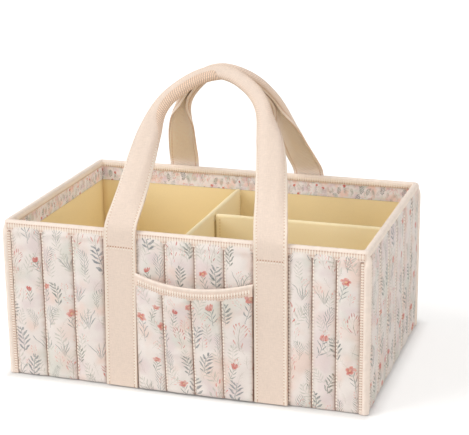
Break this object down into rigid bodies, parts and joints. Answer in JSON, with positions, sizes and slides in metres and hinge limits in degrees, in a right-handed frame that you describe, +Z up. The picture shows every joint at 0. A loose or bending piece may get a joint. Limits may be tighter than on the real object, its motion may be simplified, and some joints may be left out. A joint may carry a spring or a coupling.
{
  "type": "quilted diaper caddy",
  "caption": "Open quilted fabric storage box with a lift-out divider set, a patch pocket on the front and a pair of fold-down strap handles.",
  "frame": {"origin": "middle of the base panel's underside, on the surface that the caddy stands on", "axes": "+X along the length to the right, +Y from the front wall with the pocket to the back wall, +Z up"},
  "size_m": [0.381, 0.2677, 0.3141],
  "materials": {
    "printed_cotton": "matt woven cotton with a small floral print",
    "base_cloth": "matt plain weave",
    "strap_canvas": "matt twill",
    "binding": "matt plain weave",
    "lining": "smooth matt lining cloth",
    "board": "plain pressed board",
    "hook_and_loop": "napped tape"
  },
  "bodies": {
    "caddy": {"base_panel": "base_cloth", "corner_binding_back_left": "binding", "corner_binding_back_right": "binding", "corner_binding_front_left": "binding", "corner_binding_front_right": "binding", "facing_back": "printed_cotton", "facing_front": "printed_cotton", "facing_left": "printed_cotton", "facing_right": "printed_cotton", "front_pocket": "printed_cotton", "lining_back": "lining", "lining_floor": "lining", "lining_front": "lining", "lining_left": "lining", "lining_right": "lining", "loop_strip_back": "hook_and_loop", "loop_strip_front": "hook_and_loop", "loop_strip_right": "hook_and_loop", "outer_panel_back": "printed_cotton", "outer_panel_front": "printed_cotton", "outer_panel_left": "printed_cotton", "outer_panel_right": "printed_cotton", "pocket_binding": "binding", "rim_binding_back": "binding", "rim_binding_front": "binding", "rim_binding_left": "binding", "rim_binding_right": "binding", "stiffener_back": "board", "stiffener_base": "board", "stiffener_front": "board", "stiffener_left": "board", "stiffener_right": "board", "strap_back_left": "strap_canvas", "strap_back_right": "strap_canvas", "strap_front_left": "strap_canvas", "strap_front_right": "strap_canvas"},
    "front_handle": {"front_handle": "strap_canvas"},
    "back_handle": {"back_handle": "strap_canvas"},
    "long_divider": {"long_divider_board": "board", "long_divider_cover": "lining", "long_divider_hook_back": "hook_and_loop", "long_divider_hook_front": "hook_and_loop", "loop_strip_divider": "hook_and_loop"},
    "cross_divider": {"cross_divider_board": "board", "cross_divider_cover": "lining", "cross_divider_hook_left": "hook_and_loop", "cross_divider_hook_right": "hook_and_loop"}
  },
  "joints": [
    {"name": "front_handle_fold", "type": "hinge", "parent": "caddy", "child": "front_handle", "pos_m": [0, -0.1273, 0.165], "axis": [1, 0, 0], "range_deg": [0, 185]},
    {"name": "back_handle_fold", "type": "hinge", "parent": "caddy", "child": "back_handle", "pos_m": [0, 0.1273, 0.165], "axis": [-1, 0, 0], "range_deg": [0, 185]},
    {"name": "long_divider_lift", "type": "slide", "parent": "caddy", "child": "long_divider", "axis": [0, 0, 1], "range_m": [0, 0.13]},
    {"name": "cross_divider_lift", "type": "slide", "parent": "caddy", "child": "cross_divider", "axis": [0, 0, 1], "range_m": [0, 0.13]}
  ]
}
